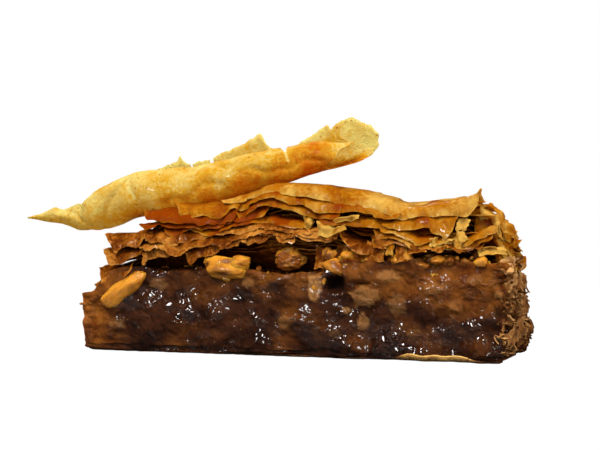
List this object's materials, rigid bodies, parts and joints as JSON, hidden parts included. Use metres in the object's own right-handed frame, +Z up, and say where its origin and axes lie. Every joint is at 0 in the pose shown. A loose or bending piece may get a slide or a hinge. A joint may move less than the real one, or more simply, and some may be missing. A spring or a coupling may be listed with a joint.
{
  "type": "baklava piece",
  "caption": "Rectangular cut piece of baklava: soaked bottom pastry, dark nut filling, soft and crisp flaky leaves on top, and a loose leaf curled into an open scroll.",
  "frame": {"origin": "middle of the flat underside of the cut piece, without the overhanging loose leaf", "axes": "+X along the long cut side, away from the loose leaf's pointed end; +Y from the long cut side with the large nuts towards the back; +Z up through the layers"},
  "size_m": [0.0925, 0.0331, 0.0407],
  "materials": {
    "soaked_pastry": "wet and sticky",
    "nut_paste": "wet with syrup, uneven, glossy",
    "soft_pastry": "moist, satin",
    "crisp_pastry": "crisp and glazed, glossy",
    "loose_leaf": "thin, crisp, lightly glazed, lets light through",
    "nut": "glazed with syrup"
  },
  "bodies": {
    "root": {"base_pastry": "soaked_pastry", "nut_filling": "nut_paste", "soft_pastry": "soft_pastry", "crisp_pastry": "crisp_pastry", "loose_leaf": "loose_leaf", "nut_sliver": "nut", "nut_chunk": "nut", "nut_glazed": "nut", "nut_crumb": "nut"}
  },
  "joints": []
}
